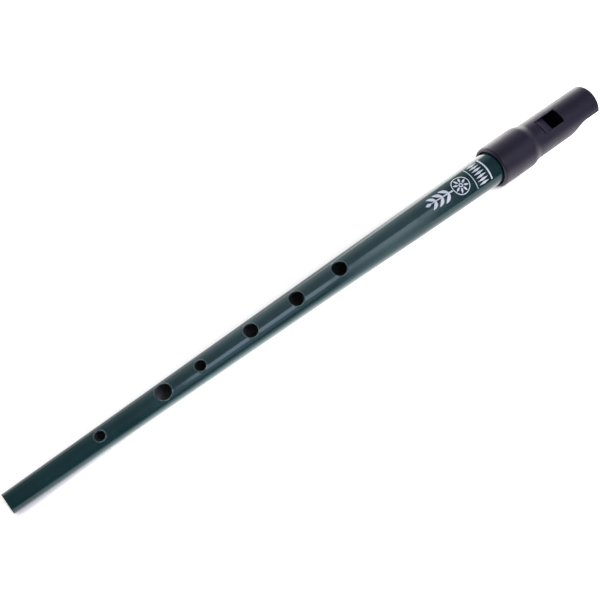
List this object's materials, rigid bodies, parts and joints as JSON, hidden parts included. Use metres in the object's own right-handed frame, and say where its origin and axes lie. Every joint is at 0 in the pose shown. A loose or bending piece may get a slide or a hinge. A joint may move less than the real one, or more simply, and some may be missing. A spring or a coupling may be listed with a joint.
{
  "type": "tin whistle",
  "caption": "Conical tin whistle: painted rolled-tin tube with finger holes, pushed into a black moulded mouthpiece with window, windway block and hollowed beak.",
  "frame": {"origin": "on the bore's axis, half way along the whistle, which is the centre of its bounding box", "axes": "+X along the bore from the foot end to the beak, +Z out through the finger holes and the window, +Y across the bore"},
  "size_m": [0.298, 0.0194, 0.0194],
  "materials": {
    "green_painted_tin": "gloss enamel over tinplate",
    "black_abs": "satin moulded ABS, black with a slight purple cast",
    "black_abs_block": "satin moulded ABS",
    "bare_tinplate": "bare cut edges and inside of the rolled tinplate",
    "white_print": "thin white screen print"
  },
  "bodies": {
    "tube": {"body_tube": "green_painted_tin"},
    "head": {"mouthpiece": "black_abs", "fipple_block": "black_abs_block"}
  },
  "joints": [
    {"name": "tuning_slide", "type": "slide", "parent": "tube", "child": "head", "axis": [1, 0, 0], "range_m": [0, 0.019]}
  ]
}
